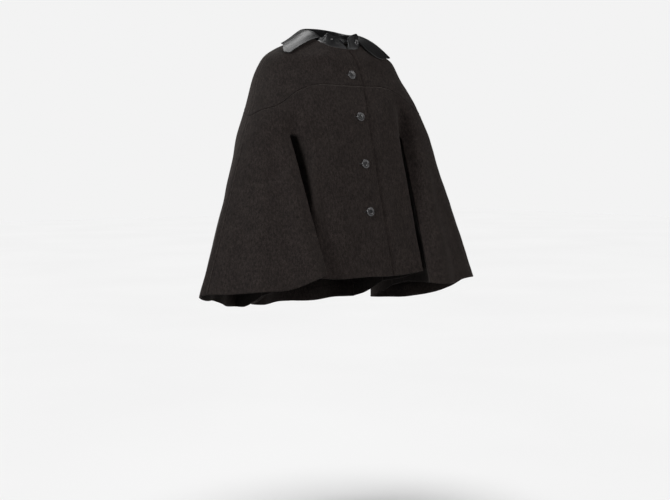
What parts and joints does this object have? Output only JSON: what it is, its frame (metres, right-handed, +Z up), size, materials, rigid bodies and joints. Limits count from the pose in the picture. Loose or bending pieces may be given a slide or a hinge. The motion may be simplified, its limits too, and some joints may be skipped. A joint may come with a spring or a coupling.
{
  "type": "wool cape coat",
  "caption": "Worn hollow wool cape coat with a shaped yoke, wide bell sleeves cut in one with the body, a leather shirt collar and a buttoned front.",
  "frame": {"origin": "on the body's axis, level with the shoulders' neck points, where the coat is held", "axes": "+Z up, -Y the way the wearer faces, +X the wearer's left"},
  "size_m": [1.0182, 0.4531, 0.8583],
  "materials": {
    "wool": "felted charcoal brown wool with a short nap",
    "collar_leather": "smooth black leather with a soft shine",
    "buttons": "polished dark grey, horn look"
  },
  "bodies": {
    "root": {"yoke_front_right": "wool", "yoke_front_left": "wool", "yoke_back": "wool", "front_right": "wool", "front_left": "wool", "back": "wool", "collar_stand": "collar_leather", "collar": "collar_leather", "button_1": "buttons", "button_2": "buttons", "button_3": "buttons", "button_4": "buttons", "neck_button": "buttons"}
  },
  "joints": []
}
